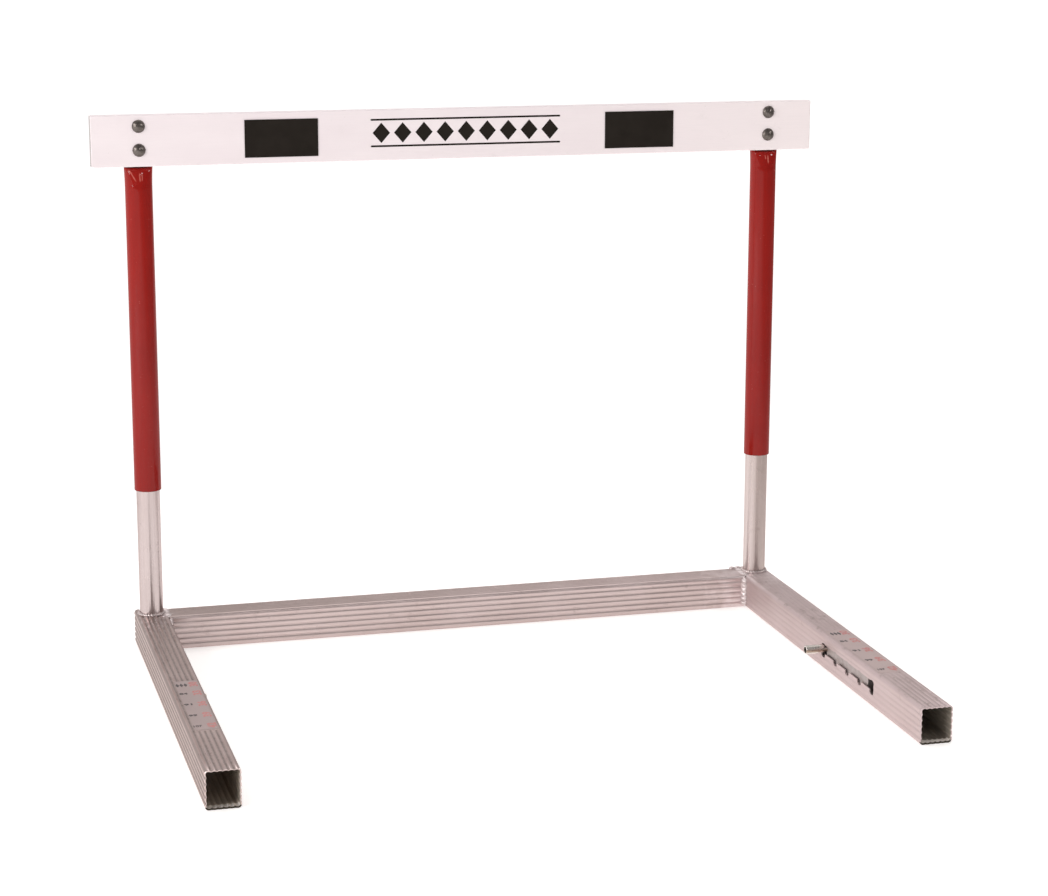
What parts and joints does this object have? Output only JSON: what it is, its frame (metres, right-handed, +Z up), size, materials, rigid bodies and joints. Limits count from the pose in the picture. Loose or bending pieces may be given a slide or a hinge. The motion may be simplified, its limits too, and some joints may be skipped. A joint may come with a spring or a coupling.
{
  "type": "athletics hurdle",
  "caption": "Free-standing hurdle: fluted tube base with two open legs, telescoping red posts, a white gate board and sliding counterweights.",
  "frame": {"origin": "middle of the hurdle's box, on the ground", "axes": "+X along the gate board to the right, -Y the way the two legs point, +Z up"},
  "size_m": [1.0464, 0.706, 0.762],
  "materials": {
    "fluted_aluminium": "mill-finish extrusion with fine lengthwise lines, lightly scuffed",
    "drawn_aluminium": "satin drawn tube",
    "weld_aluminium": "bright rippled bead",
    "red_enamel": "gloss powder coat",
    "white_board": "semi-gloss",
    "black_panel": "satin vinyl",
    "setting_label": "satin film printed with red and black figures",
    "dark_zinc": "dull grey zinc plate",
    "plated_steel": "bright plate",
    "weight_steel": "oiled mill scale",
    "spring_steel": "plain"
  },
  "bodies": {
    "base": {"cross_tube": "fluted_aluminium", "left_leg": "fluted_aluminium", "left_lower_post": "drawn_aluminium", "left_front_weld": "weld_aluminium", "left_back_weld": "weld_aluminium", "left_top_weld": "weld_aluminium", "left_foot_weld": "weld_aluminium", "left_setting_label": "setting_label", "left_button_spring": "spring_steel", "right_leg": "fluted_aluminium", "right_lower_post": "drawn_aluminium", "right_front_weld": "weld_aluminium", "right_back_weld": "weld_aluminium", "right_top_weld": "weld_aluminium", "right_foot_weld": "weld_aluminium", "right_setting_label": "setting_label", "right_button_spring": "spring_steel"},
    "upper_frame": {"gate_board": "white_board", "left_upper_post": "red_enamel", "left_black_panel": "black_panel", "right_upper_post": "red_enamel", "right_black_panel": "black_panel", "left_upper_bolt": "dark_zinc", "left_upper_washer": "dark_zinc", "left_upper_nut": "dark_zinc", "left_lower_bolt": "dark_zinc", "left_lower_washer": "dark_zinc", "left_lower_nut": "dark_zinc", "right_upper_bolt": "dark_zinc", "right_upper_washer": "dark_zinc", "right_upper_nut": "dark_zinc", "right_lower_bolt": "dark_zinc", "right_lower_washer": "dark_zinc", "right_lower_nut": "dark_zinc"},
    "left_weight": {"left_weight_bar": "weight_steel", "left_pin_spring": "spring_steel"},
    "left_lock_pin": {"left_lock_pin": "plated_steel"},
    "left_snap_button": {"left_snap_button": "plated_steel"},
    "right_weight": {"right_weight_bar": "weight_steel", "right_pin_spring": "spring_steel"},
    "right_lock_pin": {"right_lock_pin": "plated_steel"},
    "right_snap_button": {"right_snap_button": "plated_steel"}
  },
  "joints": [
    {"name": "height_slide", "type": "slide", "parent": "base", "child": "upper_frame", "axis": [0, 0, 1], "range_m": [0, 0.3048]},
    {"name": "left_weight_slide", "type": "slide", "parent": "base", "child": "left_weight", "axis": [0, -1, 0], "range_m": [0, 0.1728]},
    {"name": "left_pin_drop", "type": "slide", "parent": "left_weight", "child": "left_lock_pin", "axis": [0, 0, -1], "range_m": [0, 0.006], "deforming": ["left_pin_spring"]},
    {"name": "left_button_snap", "type": "slide", "parent": "base", "child": "left_snap_button", "axis": [0, 1, 0], "range_m": [0, 0.0055]},
    {"name": "right_weight_slide", "type": "slide", "parent": "base", "child": "right_weight", "axis": [0, -1, 0], "range_m": [0, 0.1728]},
    {"name": "right_pin_drop", "type": "slide", "parent": "right_weight", "child": "right_lock_pin", "axis": [0, 0, -1], "range_m": [0, 0.006], "deforming": ["right_pin_spring"]},
    {"name": "right_button_snap", "type": "slide", "parent": "base", "child": "right_snap_button", "axis": [0, 1, 0], "range_m": [0, 0.0055]}
  ]
}
